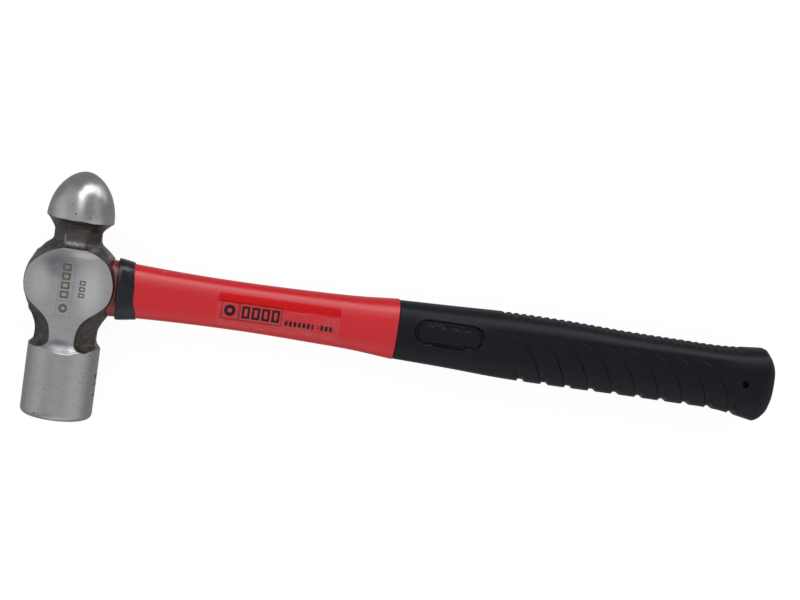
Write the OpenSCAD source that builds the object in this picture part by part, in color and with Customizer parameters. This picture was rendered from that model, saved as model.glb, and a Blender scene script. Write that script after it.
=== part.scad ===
// Ball peen hammer: a 1 lb forged head, bonded with epoxy to a fibreglass-cored handle.
//
// The hammer lies on its side. +X runs along the handle to the butt, +Y runs along the
// head to the ball, and +Z is up, out of the upper cheek. The origin is on the surface
// that the hammer lies on, under the middle of its outline. Every sub-part is drawn
// around the point where the head's axis meets the handle's, and then moved there.

/* [Head] */
// Length of the head, from the striking face to the ball's tip
head_l = 104; // [98:0.5:110]
// Distance from the handle's centre line to the ball's tip
ball_reach = 47; // [45:0.5:50]
// Diameter of the ball end at its base
ball_d = 28; // [26:0.5:30]
// Height of the ball end above its base
ball_h = 19.2; // [18:0.1:20]
// Semi-height of the ellipse that the ball's dome follows
ball_rise = 20.6; // [20.2:0.1:24]
// Width across the flats of the octagonal neck under the ball
neck_w = 19.2; // [17:0.1:21]
// Width across the flats of the octagonal waist, and across the two flat cheeks
waist_w = 25.2; // [24:0.1:27]
// Diameter of the round eye body, seen square on to a cheek
eye_body_d = 38.7; // [37:0.1:40]
// Distance from the head's axis back to the middle of the eye body
eye_body_back = 0.65; // [0:0.05:1.5]
// Width of the bevel round each cheek
cheek_bevel = 1.2; // [0.5:0.1:2]
// Diameter of the poll
poll_d = 30; // [28:0.5:32]
// Length of the poll, from its shoulder to the striking face
poll_l = 29.5; // [28:0.5:31]
// Radius on the edge of the striking face
face_edge_r = 2.6; // [1:0.1:4]

/* [Eye] */
// Half height of the eye at its narrow middle, along the head
eye_mid_y = 10.4; // [10:0.1:11]
// Half width of the eye at its narrow middle, between the cheeks
eye_mid_z = 6.2; // [5.8:0.1:7]
// Half height of the eye at its open back
eye_back_y = 12; // [11:0.1:12.5]
// Half width of the eye at its open back
eye_back_z = 7.6; // [7:0.1:8.5]
// Thickness of the epoxy film between the eye's socket and the handle's jacket
bond_gap = 0.3; // [0.1:0.1:0.4]
// Depth that the epoxy's back face lies inside the eye body
epoxy_recess = 4.2; // [3.5:0.1:5]

/* [Handle] */
// Height of the fibreglass core
core_h = 18; // [16:0.5:19]
// Thickness of the fibreglass core
core_t = 9; // [8:0.5:10]
// Distance from the head's axis to the seam where the rubber grip starts
seam_x = 137.6; // [134:0.1:142]
// Distance from the head's axis to the end of the butt
butt_x = 306; // [306:0.1:310]
// Width of the rubber collar behind the head
collar_w = 7.3; // [6:0.1:9]
// Thickness of the rubber collar at its edge next to the head
collar_t = 1.2; // [1:0.1:2]

/* [Grip] */
// Thickness of the rubber over the jacket
rubber_t = 2.4; // [2:0.1:2.8]
// Number of ribs across the top of the grip
rib_count = 31; // [25:1:31]
// Distance from one rib to the next
rib_pitch = 3.4; // [3.2:0.1:3.4]
// Depth of the grooves between the ribs
rib_depth = 1; // [0.5:0.1:1.4]
// Number of notches along the underside of the grip
notch_count = 10; // [6:1:10]
// Distance from one notch to the next
notch_pitch = 10.6; // [10:0.1:10.8]
// Width of each notch
notch_w = 3.4; // [2:0.1:5]
// Depth of each notch
notch_depth = 1; // [0.5:0.1:1.4]
// Length of the plain oval emblem panel on each side
emblem_l = 29.6; // [24:0.1:32]
// Height of the emblem panel
emblem_h = 10.6; // [8:0.1:12]
// Diameter of the two moulding-pin holes near the butt
pin_hole_d = 3; // [2:0.1:3.5]

/* [Label] */
// Length of the clear label on the jacket
label_l = 52; // [40:1:60]
// Height of the label
label_h = 13.8; // [10:0.1:15]
// Thickness of the label film
label_t = 0.2; // [0.15:0.05:0.4]

/* [Hidden] */
$fn = 96;

cheek_z = waist_w / 2;
neck_r = neck_w / 2;
waist_r = waist_w / 2;
poll_r = poll_d / 2;
eye_body_r = eye_body_d / 2;
face_y = ball_reach - head_l;
shoulder_y = face_y + poll_l;
ball_base_y = ball_reach - ball_h;
eye_left_x = -eye_body_back - eye_body_r;

// Concave fillets of the forging: [arc radius, angle that the arc turns through]
neck_fillet = [4, 50];
waist_fillet = [14, 36];
shoulder_fillet = [4, 50];
// Heights along the head's axis where the three fillets start
neck_fillet_y = 19.6;
waist_fillet_y = -21.5;
shoulder_fillet_y = -24;
fillet_steps = 5;
shoulder_edge = 0.8;
ball_lip = 0.9;
// Where the neck starts to flare out to the ball: [extra radius, distance under its base]
ball_flare = [0.4, 4.6];
bevel_depth = 4;
flats = 8;
// Radius, inside the eye body, that the neck and the waist run in to
root_r = eye_body_r - 3;
// Growth of the eye from its middle to the socket: [half height, half width]
eye_growth = [0.6, 0.5];

// Places along the handle, from the head's axis
socket_x = 12;
collar_x = 18.8;
collar_edge = 0.4;
// Thickness of the collar at its middle and at its tail, as shares of its front edge
collar_taper = [0.7, 0.5];
bead_x = 15;
bead_swell = 0.2;
bead_root = 0.6;
core_end_x = 296;
core_back_x = -17.6;
jacket_end_x = 299;
butt_start_x = 300;
rib_x = 186.5;
notch_x = 194.8;
emblem_x = 160;
emblem_y = 1;
emblem_groove_w = 1.3;
emblem_groove_depth = 0.7;
// Width of the rounded ribs' crests, and the end of the stretch that holds the emblem
rib_crest = 1;
emblem_end_x = 186;
pin_hole_x = 291.6;
pin_hole_y = -2.4;
label_x = 87;
label_y = -1.3;

// Sections of the handle: [x, top edge, bottom edge, half thickness]
JACKET = [
    [socket_x, 12.2, -12.1, 8.2],
    [30, 11.2, -11.2, 7.8],
    [50, 10.4, -10.7, 7.5],
    [75, 10.1, -10.7, 7.4],
    [100, 10.4, -11.4, 7.8],
    [120, 11, -12.2, 8.5],
    [seam_x, 12.3, -13.8, 9.6]
];
GRIP = [
    [seam_x, 11.8, -13.5, 9.6],
    [160, 12.4, -14.3, 11],
    [186, 13.2, -15.6, 12],
    [210, 13.1, -15.9, 12.2],
    [240, 12, -15.9, 12.2],
    [262, 11.7, -16.1, 12.2],
    [284, 11.6, -16.7, 12.2],
    [butt_start_x, 12.9, -19.4, 12.6]
];
// The rounded butt, past the last section of GRIP
BUTT = [
    [301.6, 12.8, -18.7, 12.3],
    [303.2, 11, -17.1, 11.6],
    [304.8, 8.9, -14.4, 10.2],
    [305.6, 7, -10.4, 8.8],
    [butt_x, 5, -4, 6.4]
];
ring_points = 32;
squareness = 2.6;
x_step = 6;
// A size that reaches right through the handle
through = 40;

// Handle's centre and the height of the head's axis above the surface
middle_x = (butt_x + eye_left_x) / 2;
middle_y = (ball_reach + face_y) / 2;
axis_z = poll_r;

STEEL = "lightslategray";
RED = "crimson";
BLACK = "darkslategray";

// Helpers

// A smooth curve (Catmull-Rom) through column c of a table of sections
function row(table, i) = table[max(0, min(len(table) - 1, i))];
function span(table, x, i = 0) =
    (i >= len(table) - 2 || x <= table[i + 1][0]) ? i : span(table, x, i + 1);
function slope(table, i, c) =
    (row(table, i + 1)[c] - row(table, i - 1)[c]) / (row(table, i + 1)[0] - row(table, i - 1)[0]);
function hermite(a, b, ma, mb, w, t) =
    a * (2 * t * t * t - 3 * t * t + 1) + b * (3 * t * t - 2 * t * t * t)
    + ma * w * (t * t * t - 2 * t * t + t) + mb * w * (t * t * t - t * t);
function at(table, x, c, i) =
    let (a = table[i], b = table[i + 1], w = b[0] - a[0])
    hermite(a[c], b[c], slope(table, i, c), slope(table, i + 1, c), w, (x - a[0]) / w);
function section(table, x) =
    let (i = span(table, x))
    [x, at(table, x, 1, i), at(table, x, 2, i), at(table, x, 3, i)];
function sections(table, x_from, x_to) = concat(
    [for (x = [x_from:x_step:x_to - 1]) section(table, x)],
    [section(table, x_to)]
);

// A rounded, slightly squared ring of points for one section, grown outwards by extra
function swell(c) = sign(c) * pow(abs(c), 2 / squareness);
function ring(s, extra = 0) =
    let (mid = (s[1] + s[2]) / 2, half = (s[1] - s[2]) / 2 + extra, thick = s[3] + extra)
    [for (i = [0:ring_points - 1])
        let (a = 360 * i / ring_points)
        [s[0], mid + half * swell(cos(a)), thick * swell(sin(a))]];
function rings(table, extra = 0) = [for (s = table) ring(s, extra)];

function reversed(list) = [for (i = [len(list) - 1:-1:0]) list[i]];

// An octagon square to the head's axis, at height y, with its flats at distance r
function octagon(y, r) =
    [for (i = [0:flats - 1])
        let (a = 360 * (i + 0.5) / flats, corner = r / cos(180 / flats))
        [corner * sin(a), y, corner * cos(a)]];

// A fillet that starts at radius r and height y, turns outwards, and runs on to end_r
function fillet(y, r, way, f, end_r) =
    let (out = [for (i = [0:fillet_steps])
                let (a = f[1] * i / fillet_steps)
                [y + way * f[0] * sin(a), r + f[0] * (1 - cos(a))]],
         last = out[fillet_steps])
    concat(out, [[last[0] + way * (end_r - last[1]) / tan(f[1]), end_r]]);

// A closed skin over rings with the same number of points, in order along +X or +Y
module skin(loops) {
    n = len(loops[0]);
    last = (len(loops) - 1) * n;
    polyhedron(
        points = [for (loop = loops) each loop],
        faces = concat(
            [[for (i = [0:n - 1]) i]],
            [for (k = [0:len(loops) - 2], i = [0:n - 1])
                let (a = k * n + i, b = k * n + (i + 1) % n)
                each [[a, a + n, b + n], [a, b + n, b]]],
            [[for (i = [n - 1:-1:0]) last + i]]
        )
    );
}

module along_head() rotate([-90, 0, 0]) children();
module place() translate([-middle_x, -middle_y, axis_z]) children();
module between_cheeks() cube([2 * head_l, 2 * head_l, waist_w], center = true);
module capsule(l, h) {
    for (side = [-1, 1]) translate([side * (l - h) / 2, 0]) circle(d = h);
    square([l - h, h], center = true);
}

// Head

module ball() {
    centre_y = ball_reach - ball_rise;
    semi_w = ball_d / 2;
    first = asin((ball_base_y - centre_y) / ball_rise);
    dome = [for (i = [0:16])
        let (a = first + (90 - first) * i / 16)
        [semi_w * cos(a), centre_y + ball_rise * sin(a)]];
    along_head() rotate_extrude() polygon(concat(
        [[0, neck_fillet_y], [neck_r, neck_fillet_y + 2],
         [neck_r + ball_flare[0], ball_base_y - ball_flare[1]],
         [semi_w - ball_lip, ball_base_y - 1.2 * ball_lip],
         [semi_w - 0.2 * ball_lip, ball_base_y - 0.6 * ball_lip]],
        dome
    ));
}

module neck() {
    flare = fillet(neck_fillet_y, neck_r, -1, neck_fillet, root_r);
    intersection() {
        skin([for (f = reversed(concat([[ball_base_y, neck_r]], flare, [[0, root_r]])))
            octagon(f[0], f[1])]);
        between_cheeks();
    }
}

module eye_body() {
    translate([-eye_body_back, 0, 0]) rotate_extrude() polygon([
        [0, -cheek_z], [eye_body_r - cheek_bevel, -cheek_z],
        [eye_body_r - cheek_bevel / 3, bevel_depth / 2 - cheek_z],
        [eye_body_r, bevel_depth - cheek_z], [eye_body_r, cheek_z - bevel_depth],
        [eye_body_r - cheek_bevel / 3, cheek_z - bevel_depth / 2],
        [eye_body_r - cheek_bevel, cheek_z], [0, cheek_z]
    ]);
}

module waist() {
    up = fillet(waist_fillet_y, waist_r, 1, waist_fillet, root_r);
    down = fillet(shoulder_fillet_y, waist_r, -1, shoulder_fillet, poll_r + 1);
    intersection() {
        skin([for (f = concat([[shoulder_fillet_y, waist_r]], up, [[0, root_r]]))
            octagon(f[0], f[1])]);
        between_cheeks();
    }
    intersection() {
        skin([for (f = reversed(concat([[waist_fillet_y, waist_r]], down))) octagon(f[0], f[1])]);
        along_head() cylinder(h = 2 * head_l, r = poll_r, center = true);
    }
}

module poll() {
    edge = [for (i = [0:6])
        let (a = 15 * i)
        [poll_r - face_edge_r * (1 - cos(a)), face_y + face_edge_r * (1 - sin(a))]];
    along_head() rotate_extrude() polygon(concat(
        [[0, shoulder_y], [poll_r - shoulder_edge, shoulder_y],
         [poll_r, shoulder_y - shoulder_edge]],
        edge,
        [[0, face_y]]
    ));
}

// The eye narrows to the middle, and opens into a socket that takes the jacket's end
module eye() {
    mouth = JACKET[0];
    skin([for (s = [
        [eye_left_x - 1, eye_back_y, -eye_back_y, eye_back_z],
        [0, eye_mid_y, -eye_mid_y, eye_mid_z],
        [socket_x, eye_mid_y + eye_growth[0], -eye_mid_y - eye_growth[0], eye_mid_z + eye_growth[1]]
    ]) ring(s)]);
    skin([
        ring([socket_x - bond_gap, mouth[1], mouth[2], mouth[3]], bond_gap),
        ring([eye_body_r + 2, mouth[1], mouth[2], mouth[3]], bond_gap)
    ]);
}

module hammer_head() {
    color(STEEL) place() difference() {
        union() {
            ball();
            neck();
            eye_body();
            waist();
            poll();
        }
        eye();
    }
}

// Handle

module core_solid() {
    translate([core_back_x, 0, 0]) rotate([90, 0, 90])
        linear_extrude(core_end_x - core_back_x) capsule(core_h, core_t);
}

module jacket_solid() {
    under_grip = [for (s = sections(GRIP, seam_x, jacket_end_x))
        [s[0], s[1] - rubber_t, s[2] + rubber_t, s[3] - rubber_t]];
    skin(concat(rings(sections(JACKET, socket_x, seam_x)), rings(under_grip)));
}

// The stretch of the jacket from x_from to x_to, cut at the same sections as the whole
module jacket_stretch(x_from, x_to, extra = 0) {
    first = socket_x + x_step * floor((x_from - socket_x) / x_step);
    last = socket_x + x_step * ceil((x_to - socket_x) / x_step);
    skin(rings(sections(JACKET, first, last), extra));
}

// One cured mass: it fills the eye, films the socket and squeezes out in a bead behind
module eye_epoxy() {
    mouth = JACKET[0];
    color("olive") place() difference() {
        union() {
            intersection() {
                eye();
                translate([-eye_body_back, 0, 0])
                    cylinder(h = waist_w, r = eye_body_r + bond_gap, center = true);
                translate([eye_left_x + epoxy_recess, -eye_body_r, -cheek_z])
                    cube([2 * eye_body_d, eye_body_d, waist_w]);
            }
            difference() {
                skin([
                    ring([socket_x + bead_root, mouth[1], mouth[2], mouth[3]], bond_gap),
                    ring([bead_x, mouth[1], mouth[2], mouth[3]], bond_gap + bead_swell),
                    ring(section(JACKET, collar_x), bead_swell)
                ]);
                translate([-eye_body_back, 0, 0])
                    cylinder(h = waist_w, r = eye_body_r, center = true);
            }
        }
        core_solid();
        jacket_stretch(socket_x, collar_x);
    }
}

module fiberglass_core() {
    color("khaki") place() core_solid();
}

module handle_jacket() {
    color(RED) place() difference() {
        jacket_solid();
        core_solid();
    }
}

module head_collar() {
    tail_x = collar_x + collar_w;
    front = section(JACKET, collar_x);
    tail = section(JACKET, tail_x);
    color(BLACK) place() difference() {
        skin([
            ring(front, collar_t - collar_edge),
            ring(section(JACKET, collar_x + collar_edge), collar_t),
            ring(section(JACKET, collar_x + collar_w / 2), collar_taper[0] * collar_t),
            ring(section(JACKET, tail_x - collar_edge), collar_taper[1] * collar_t),
            ring(tail, collar_taper[1] * collar_t - collar_edge / 2)
        ]);
        jacket_stretch(collar_x, tail_x);
    }
}

module ribs() {
    groove_r = (rib_pitch - rib_crest) / 2;
    for (i = [0:rib_count]) {
        x = rib_x + (i - 0.5) * rib_pitch;
        translate([x, section(GRIP, x)[1] + groove_r - rib_depth, 0])
            cylinder(h = through, r = groove_r, center = true, $fn = 24);
    }
}

module notches() {
    for (i = [0:notch_count - 1]) {
        x = notch_x + i * notch_pitch;
        translate([x, section(GRIP, x)[2], 0])
            cube([notch_w, 2 * notch_depth, through], center = true);
    }
}

module emblem_grooves() {
    difference() {
        translate([emblem_x, emblem_y, 0]) linear_extrude(through, center = true) difference() {
            capsule(emblem_l, emblem_h);
            capsule(emblem_l - 2 * emblem_groove_w, emblem_h - 2 * emblem_groove_w);
        }
        skin(rings(sections(GRIP, seam_x, emblem_end_x), -emblem_groove_depth));
    }
}

module rubber_grip() {
    color(BLACK) place() difference() {
        skin(concat(rings(sections(GRIP, seam_x, butt_start_x)), rings(BUTT)));
        jacket_solid();
        ribs();
        notches();
        emblem_grooves();
        translate([pin_hole_x, pin_hole_y, 0])
            cylinder(h = through, d = pin_hole_d, center = true);
    }
}

module handle_label() {
    first = label_x - label_l / 2;
    last = label_x + label_l / 2;
    color("mistyrose") place() difference() {
        intersection() {
            jacket_stretch(first, last, label_t);
            translate([first, label_y - label_h / 2, 0]) cube([label_l, label_h, through / 2]);
        }
        jacket_stretch(first, last);
    }
}

hammer_head();
eye_epoxy();
fiberglass_core();
handle_jacket();
head_collar();
rubber_grip();
handle_label();
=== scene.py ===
"""The looks of the ball peen hammer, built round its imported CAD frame.

Every outline below is in millimetres, round the point where the head's axis crosses the
handle's: +X runs to the butt, +Y to the ball and +Z out of the upper cheek. to_frame()
takes the points into the row frame, in metres.
"""

import math

import bmesh
import bpy
import numpy as np
from mathutils import Matrix, Vector, noise


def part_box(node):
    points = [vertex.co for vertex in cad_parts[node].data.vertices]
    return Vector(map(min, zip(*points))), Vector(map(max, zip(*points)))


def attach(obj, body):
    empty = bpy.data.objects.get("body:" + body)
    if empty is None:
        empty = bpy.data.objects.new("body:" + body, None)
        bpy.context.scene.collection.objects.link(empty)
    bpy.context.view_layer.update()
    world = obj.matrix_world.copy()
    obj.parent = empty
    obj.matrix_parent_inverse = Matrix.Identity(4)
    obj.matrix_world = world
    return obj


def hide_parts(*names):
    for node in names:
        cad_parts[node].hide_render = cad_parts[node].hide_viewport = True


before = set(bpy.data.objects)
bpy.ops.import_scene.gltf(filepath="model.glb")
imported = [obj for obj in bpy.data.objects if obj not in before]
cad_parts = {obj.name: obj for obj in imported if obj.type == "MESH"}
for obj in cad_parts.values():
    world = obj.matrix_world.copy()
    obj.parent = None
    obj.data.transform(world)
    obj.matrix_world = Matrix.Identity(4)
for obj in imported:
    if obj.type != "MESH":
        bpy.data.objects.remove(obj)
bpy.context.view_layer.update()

MM = 0.001
head_low, head_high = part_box("hammer_head")
grip_low, grip_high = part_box("rubber_grip")
collar_low, collar_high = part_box("head_collar")
label_low, label_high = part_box("handle_label")

# Head, driven by the frame
EYE_BACK = 0.65
EYE_R = 19.35
BALL_TIP = 47.0
CROSS = Vector((head_low.x + (EYE_BACK + EYE_R) * MM, head_high.y - BALL_TIP * MM,
                (head_low.z + head_high.z) / 2))
FACE = (head_low.y - CROSS.y) / MM
POLL_R = (head_high.z - head_low.z) / MM / 2
BALL_BASE = 27.8
BALL_R = 14.0
BALL_RISE = 20.6
CHEEK = 12.6
NECK = 9.7
STRIP = 5.0
CHEEK_R = 18.0
CHEEK_TOP = 15.9
EYE_BODY_Y = 0.5
WAIST_FROM = -22.6
NECK_FROM = 15.4
UNDER_BALL = 22.0
EDGE_R = 2.6
CROWN = 0.15
# The poll's upper edge: degrees round the head from straight up, to +X, and height
SHOULDER = [
    (-90, -26.6), (-50, -27.0), (-36, -26.6), (-18, -27.5), (4, -28.15), (14, -27.95),
    (26, -26.9), (40, -27.2), (62, -26.0), (90, -26.6),
]
FLAT_RATIO = math.tan(math.radians(22.5))
CORNER_DEG = 25.0
# How far round the poll the ground strip has widened where it meets it, left and right
STRIP_SPREAD_DEG = (37.0, 26.0)
TOP_STEPS = 28
FLANK_STEPS = 56
# Knocks on the poll's side: middle, radius, depth, and half the height of the stain in each
KNOCKS = [
    ((14.9, -37.6, 1.5), 1.7, 0.7, 1.6),
    ((14.9, -41.0, 2.5), 0.9, 0.25, 0.7),
    ((14.8, -45.6, 2.0), 1.0, 0.2, 0.8),
]
CHIP_X = 15.2

# Handle, driven by the frame
SEAM = (grip_low.x - CROSS.x) / MM
BUTT = (grip_high.x - CROSS.x) / MM
LABEL_ENDS = [(end.x - CROSS.x) / MM for end in (label_low, label_high)]
SOCKET = 12.0
JACKET_END = BUTT - 7
CORE_END = BUTT - 10
CORE_BACK = -17.6
CORE_H = 18.0
CORE_T = 9.0
RUBBER = 2.4
SQUARE = 2.6
# Sections of the handle: x, top edge, bottom edge, half thickness
JACKET = [
    (12, 12.2, -12.1, 8.2), (30, 11.2, -11.2, 7.8), (50, 10.4, -10.7, 7.5),
    (75, 10.1, -10.7, 7.4), (100, 10.4, -11.4, 7.8), (120, 11, -12.2, 8.5),
    (137.6, 12.3, -13.8, 9.6),
]
GRIP = [
    (137.6, 11.8, -13.5, 9.6), (160, 12.4, -14.3, 11), (186, 13.2, -15.6, 12),
    (210, 13.1, -15.9, 12.2), (240, 12, -15.9, 12.2), (262, 11.7, -16.1, 12.2),
    (284, 11.6, -16.7, 12.2), (300, 12.9, -19.4, 12.6),
]
BUTT_END = [
    (300, 12.9, -19.4, 12.6), (301.6, 12.8, -18.7, 12.3), (303.2, 11, -17.1, 11.6),
    (304.8, 8.9, -14.4, 10.2), (305.6, 7, -10.4, 8.8), (306, 5, -4, 6.4),
]
# The eye: narrow in the middle, and open at the back
EYE = [(-21, 12.05, -12.05, 7.65), (0, 10.4, -10.4, 6.2), (11.7, 11, -11, 6.7)]
BOND = 0.3
EYE_FLOOR = 11.7
EPOXY_BACK = -15.8
COLLAR_T = 1.2
COLLAR_TAIL_T = 0.6

# Light that the studio's surroundings give: the same all round, and lighter patches,
# each with its direction, the angles where it is full and where it ends, and its strength
STUDIO_GREY = 0.31
STUDIO_PATCHES = [
    ((-0.8, 0.3, 0.5), 12, 52, 0.26),
    ((-0.98, -0.1, 0.15), 30, 36, 0.14),
    ((-0.1, -0.15, 0.98), 6, 30, 0.25),
    ((-0.04, 0.5, 0.86), 4, 14, 0.7),
    ((-0.08, 0.74, 0.67), 4, 13, 2.8),
    ((0.12, 0.89, 0.43), 5, 14, 3.0),
    ((0.36, 0.89, 0.28), 5, 14, 2.6),
    ((0.64, 0.77, 0.05), 4, 17, 1.7),
    ((0.76, 0.6, -0.26), 5, 20, 0.6),
    ((0.76, 0.5, 0.42), 4, 22, 0.22),
    ((0.72, -0.42, 0.5), 12, 48, 0.36),
    ((0.0, -0.9, 0.42), 10, 42, 0.42),
]

# The grip's relief
RIB_COUNT = 31
RIB_PITCH = 3.4
RIB_FIRST = 186.5
RIB_DEPTH = 1.9
FLUTE_COUNT = 10
FLUTE_PITCH = 10.6
FLUTE_W = 3.4
NOTCH_LEFT = 193.1
NOTCH_DEPTH = 1.0
FLUTE_DEPTH = 0.5
FLUTE_RUN = 19.6
RIDGE = 6.7
RIDGE_STEP = 0.3
CREASE = 0.22
LEAF_TIP = 5.5
LEAF_DROP = 17.3
LEAF_RUN = 17.0
CRISP = 0.25
EMBLEM = (160.0, 1.0)
EMBLEM_L = 29.6
EMBLEM_H = 10.6
EMBLEM_GROOVE = 1.3
EMBLEM_DEPTH = 0.9
PIN_HOLE = (291.6, -2.4)
PIN_HOLE_D = 3.0


# Camera: its own axes, the point it looks at, and how far back it stands
CAMERA_RIGHT = (0.98247, 0.15232, 0.10749)
CAMERA_UP = (-0.13746, 0.98136, -0.13425)
CAMERA_BACK = (-0.12594, 0.11712, 0.98510)
CAMERA_LOOKS_AT = (137.9, 11.9, 0)
CAMERA_DISTANCE = 698.0
CAMERA_LENS = 73.2
FILM_WIDTH = 36.0


# Numbers

def smoothstep(low, high, value):
    t = np.clip((value - low) / (high - low), 0, 1)
    return t * t * (3 - 2 * t)


def sections(table, xs):
    """The table's columns at xs, on smooth curves through its rows."""
    table = np.array(table, float)
    xs = np.atleast_1d(np.asarray(xs, float))
    at = table[:, 0]
    slopes = np.gradient(table[:, 1:], at, axis=0)
    i = np.clip(np.searchsorted(at, xs, side="right") - 1, 0, len(at) - 2)
    w = (at[i + 1] - at[i])[:, None]
    t = np.clip((xs - at[i])[:, None] / w, 0, 1)
    a, b = table[i, 1:], table[i + 1, 1:]
    start, end = slopes[i] * w, slopes[i + 1] * w
    return (a * (2 * t**3 - 3 * t**2 + 1) + b * (3 * t**2 - 2 * t**3)
            + start * (t**3 - 2 * t**2 + t) + end * (t**3 - t**2))


def power(value, exponent):
    return np.sign(value) * np.abs(value) ** exponent


def squared(x, top, bottom, half, angles, extra=0.0):
    """Points at those angles of a rounded, slightly squared section, grown by extra."""
    y = (top + bottom) / 2 + ((top - bottom) / 2 + extra) * power(np.cos(angles), 2 / SQUARE)
    z = (half + extra) * power(np.sin(angles), 2 / SQUARE)
    return np.stack(np.broadcast_arrays(x, y, z), axis=-1)


def on_table(table, x, angles, extra=0.0):
    """The same, with one x, one section of the table and one extra for each angle."""
    return squared(x, *sections(table, x).T, angles, extra)


def rings(table, xs, angles, extra=0.0):
    """Whole rings at xs: an array of shape (len(xs), len(angles), 3)."""
    columns = np.column_stack([xs, sections(table, xs)])
    return squared(*columns.T[:, :, None], angles, extra)


def level_rings(section, xs, angles, extra=0.0):
    """Whole rings at xs, all with the one section: its top, bottom and half thickness."""
    return squared(np.asarray(xs, float)[:, None], *section, angles, extra)


def full_turn(count):
    return np.arange(count) * 2 * math.pi / count


def capsule_ring(x, height, width, angles):
    """A ring with two straight sides and two round ends, at x."""
    c, s = np.cos(angles), np.sin(angles)
    r = width / 2
    reach = (height - width) / 2
    y = r * c + np.clip(c * height, -reach, reach)
    return np.stack([np.full_like(y, x), y, r * s], axis=-1)


def ring_noise(angles, size, seed):
    """Smooth noise that joins up with itself round a ring."""
    places = [Vector((math.cos(a) * size, math.sin(a) * size, seed)) for a in angles]
    return np.array([noise.noise(place) for place in places])


def outward(points):
    """Directions away from the head's axis."""
    out = points * [1, 0, 1]
    return out / np.maximum(np.linalg.norm(out, axis=1, keepdims=True), 1e-6)


def fractal(points, size, octaves=3, seed=0.0):
    """Smooth noise of about -1 to 1 at points, with features of that size."""
    out = np.empty(len(points))
    for n, p in enumerate(points):
        q = Vector((p[0] / size + seed, p[1] / size, p[2] / size))
        out[n] = noise.fractal(q, 1.0, 2.0, octaves, noise_basis="PERLIN_ORIGINAL")
    return out


# Meshes

def to_frame(points):
    return np.asarray(points, float) * MM + np.array(CROSS)


def tube_faces(rows, columns, closed=False):
    """The quads between rings of points, and from the last ring to the first if closed."""
    r, c = np.meshgrid(np.arange(rows - 1 + closed), np.arange(columns), indexing="ij")
    here, after, beside = r * columns, (r + 1) % rows * columns, (c + 1) % columns
    quads = np.stack([here + c, after + c, after + beside, here + beside], axis=-1)
    return quads.reshape(-1, 4).tolist()


def add_object(name, data):
    obj = bpy.data.objects.new(name, data)
    bpy.context.scene.collection.objects.link(obj)
    return obj


def make_piece(name, skin, materials, chosen=None, sharp_deg=32.0):
    """A mesh object in the row frame, with its normals facing out and its edges marked."""
    points, faces = skin
    mesh = bpy.data.meshes.new(name)
    mesh.from_pydata(to_frame(points).tolist(), [], faces)
    for material in materials:
        mesh.materials.append(material)
    if chosen is not None:
        mesh.polygons.foreach_set("material_index", np.asarray(chosen, np.int32))
    obj = add_object(name, mesh)
    face_out(mesh)
    finish_shading(mesh, sharp_deg)
    return obj


def face_out(mesh):
    bm = bmesh.new()
    bm.from_mesh(mesh)
    bmesh.ops.recalc_face_normals(bm, faces=bm.faces)
    bm.to_mesh(mesh)
    bm.free()


def finish_shading(mesh, sharp_deg):
    mesh.polygons.foreach_set("use_smooth", np.ones(len(mesh.polygons), bool))
    mesh.set_sharp_from_angle(angle=math.radians(sharp_deg))
    mesh.update()


def capped_tube(grid, start=None, end=None):
    """Points and faces of a closed skin over a grid of rings, with a fan over each end."""
    rows, columns = grid.shape[:2]
    points = grid.reshape(-1, 3)
    faces = tube_faces(rows, columns)
    start = grid[0].mean(axis=0) if start is None else np.asarray(start, float)
    end = grid[-1].mean(axis=0) if end is None else np.asarray(end, float)
    first, last = len(points), len(points) + 1
    around = [(c, (c + 1) % columns) for c in range(columns)]
    faces += [(first, a, b) for a, b in around]
    faces += [(last, (rows - 1) * columns + b, (rows - 1) * columns + a) for a, b in around]
    return np.vstack([points, start, end]), faces


def hoop(grid):
    """Points and faces of a grid of rings whose last row joins its first, like a washer."""
    return grid.reshape(-1, 3), tube_faces(*grid.shape[:2], closed=True)


def cut(obj, cutter, sharp_deg=32.0):
    """Takes the cutter's solid out of obj, and deletes the cutter."""
    change = obj.modifiers.new("cut", "BOOLEAN")
    change.operation = "DIFFERENCE"
    change.solver = "EXACT"
    change.object = cutter
    bpy.context.view_layer.update()
    graph = bpy.context.evaluated_depsgraph_get()
    mesh = bpy.data.meshes.new_from_object(obj.evaluated_get(graph))
    obj.modifiers.clear()
    old = obj.data
    obj.data = mesh
    bpy.data.meshes.remove(old)
    mesh.name = obj.name
    bpy.data.objects.remove(cutter)
    finish_shading(mesh, sharp_deg)


def dress(obj, node):
    """Puts a finished piece in the place of its CAD node."""
    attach(obj, "root")
    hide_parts(node)


# Materials

def put(tree, socket, value):
    """Links a node's output to the socket, or sets the socket itself to a value."""
    if isinstance(value, bpy.types.NodeSocket):
        tree.links.new(value, socket)
    else:
        socket.default_value = value


def add_node(tree, kind, *values, **settings):
    """A new node with these settings. The values go to its sockets in turn."""
    node = tree.nodes.new("ShaderNode" + kind)
    for name, value in settings.items():
        setattr(node, name, value)
    for socket, value in zip(node.inputs, values):
        put(tree, socket, value)
    return node


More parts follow.
